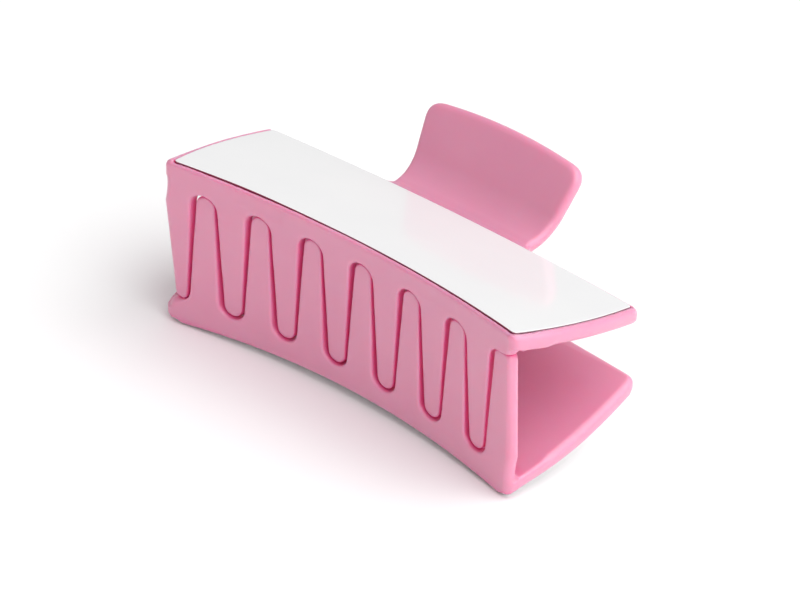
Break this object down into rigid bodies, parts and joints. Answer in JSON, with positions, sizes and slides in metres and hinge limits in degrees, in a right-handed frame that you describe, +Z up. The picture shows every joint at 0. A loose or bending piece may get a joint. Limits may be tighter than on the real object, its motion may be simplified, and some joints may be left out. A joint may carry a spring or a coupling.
{
  "type": "hair claw clip",
  "caption": "Straight-sided hair claw clip: two pink moulded jaws with interlocking teeth and thumb handles, a sprung hinge, and blank white metal plates set in the panels.",
  "frame": {"origin": "on the table under the centre of the whole clip's box, the clip lying on its lower jaw", "axes": "+X along the hinge and the row of teeth, +Y from the teeth to the handles, +Z up"},
  "size_m": [0.089, 0.052, 0.0414],
  "materials": {
    "pink_plastic": "satin moulded",
    "white_coated_plate": "gloss white coating on aluminium",
    "adhesive_film": "double-sided film",
    "steel": "nickel-plated steel"
  },
  "bodies": {
    "lower_clip_half": {"lower_jaw": "pink_plastic", "lower_plate": "white_coated_plate", "lower_adhesive_film": "adhesive_film", "hinge_pin": "steel", "torsion_spring": "steel"},
    "upper_clip_half": {"upper_jaw": "pink_plastic", "upper_plate": "white_coated_plate", "upper_adhesive_film": "adhesive_film"}
  },
  "joints": [
    {"name": "jaw_hinge", "type": "hinge", "parent": "lower_clip_half", "child": "upper_clip_half", "pos_m": [0, 0.00629, 0.01963], "axis": [-1, 0, 0], "range_deg": [0, 65], "stiffness_Nm_per_rad": 0.15, "springref_deg": -51.57, "deforming": ["torsion_spring"]}
  ]
}
